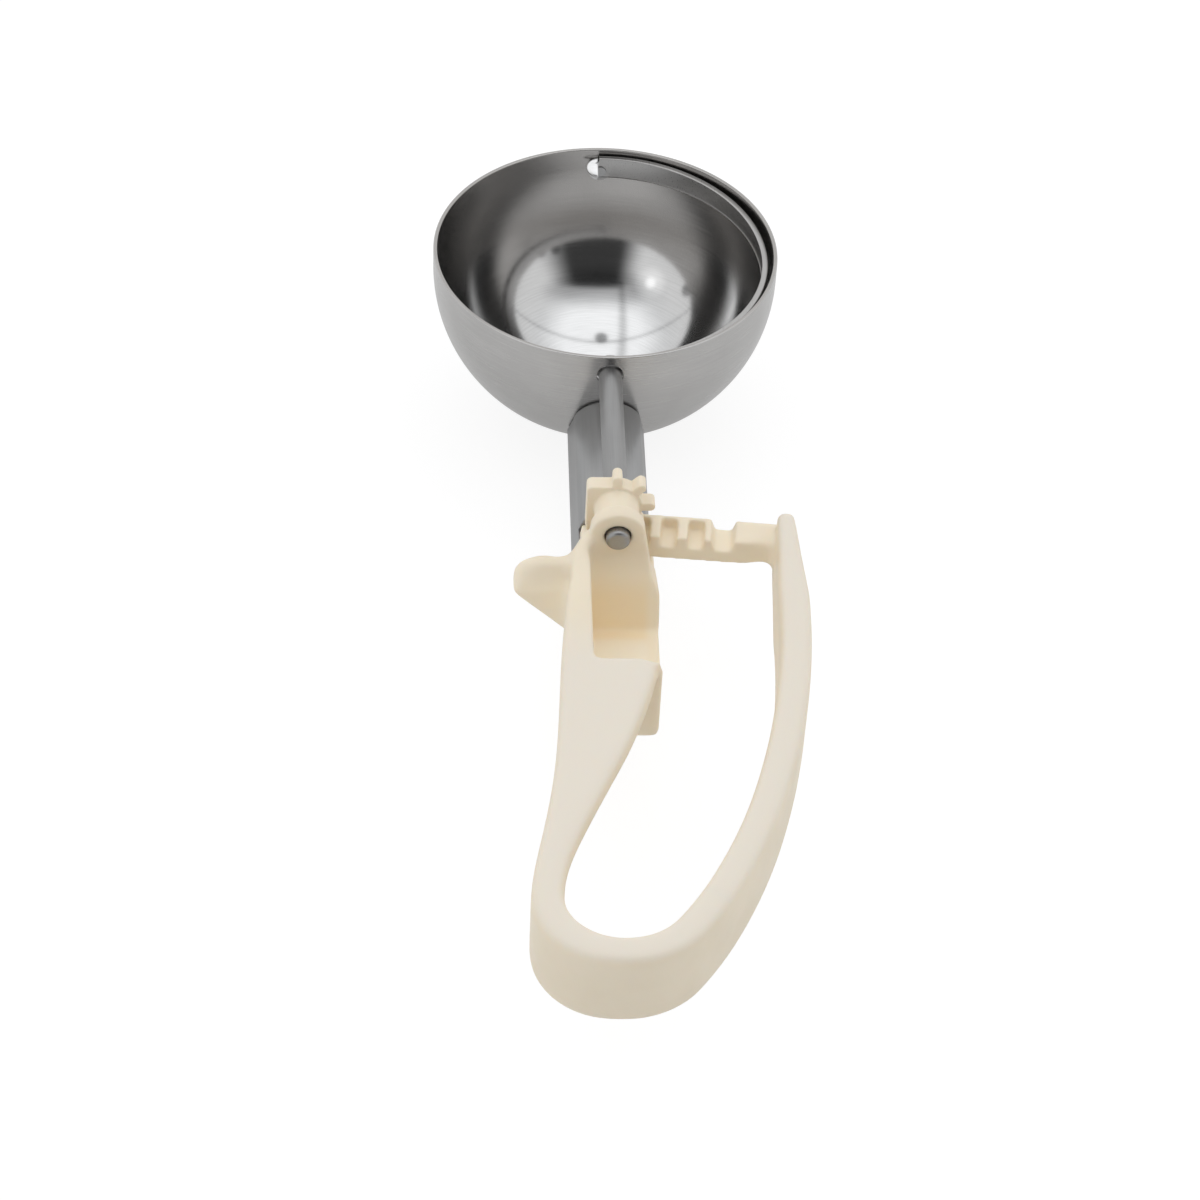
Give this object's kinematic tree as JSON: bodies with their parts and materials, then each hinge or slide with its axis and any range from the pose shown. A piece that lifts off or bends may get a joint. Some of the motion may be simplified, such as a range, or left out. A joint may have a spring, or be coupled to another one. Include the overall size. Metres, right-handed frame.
{
  "type": "lever ice cream scoop",
  "caption": "Squeeze-handle ice cream scoop: a steel bowl swept by a geared scraper blade, on a one-piece ivory plastic handle with a springy loop and a thumb rest.",
  "frame": {"origin": "centre of the bowl's rim circle, in the plane of the mouth", "axes": "+Z out of the bowl's mouth, the handle along -Y, the squeeze arm on the +X side"},
  "size_m": [0.0701, 0.2194, 0.0423],
  "materials": {
    "bowl_steel": "satin outside, polished inside",
    "shank_steel": "satin pressed sheet",
    "blade_steel": "bright strip",
    "shaft_steel": "matte drawn rod",
    "ivory_plastic": "satin moulded"
  },
  "bodies": {
    "handle": {"bowl": "bowl_steel", "shank": "shank_steel", "handle_head": "ivory_plastic", "thumb_rest": "ivory_plastic", "handle_grip": "ivory_plastic", "return_loop": "ivory_plastic"},
    "arm": {"squeeze_arm": "ivory_plastic", "gear_rack": "ivory_plastic"},
    "blade": {"scraper_blade": "blade_steel", "blade_shaft": "shaft_steel", "pivot_pin": "shaft_steel", "drive_gear": "ivory_plastic"}
  },
  "joints": [
    {"name": "arm_squeeze", "type": "hinge", "parent": "handle", "child": "arm", "pos_m": [-0.0015, -0.1803, -0.01375], "axis": [0, 0, 1], "range_deg": [0, 10.9], "stiffness_Nm_per_rad": 6, "springref_deg": -1.15},
    {"name": "blade_sweep", "type": "hinge", "parent": "handle", "child": "blade", "pos_m": [0, 0, -0.0045], "axis": [0, 1, 0], "range_deg": [0, 180]}
  ],
  "couplings": [
    {"joint": "blade_sweep", "follows": "arm_squeeze", "ratio": 16.5}
  ]
}
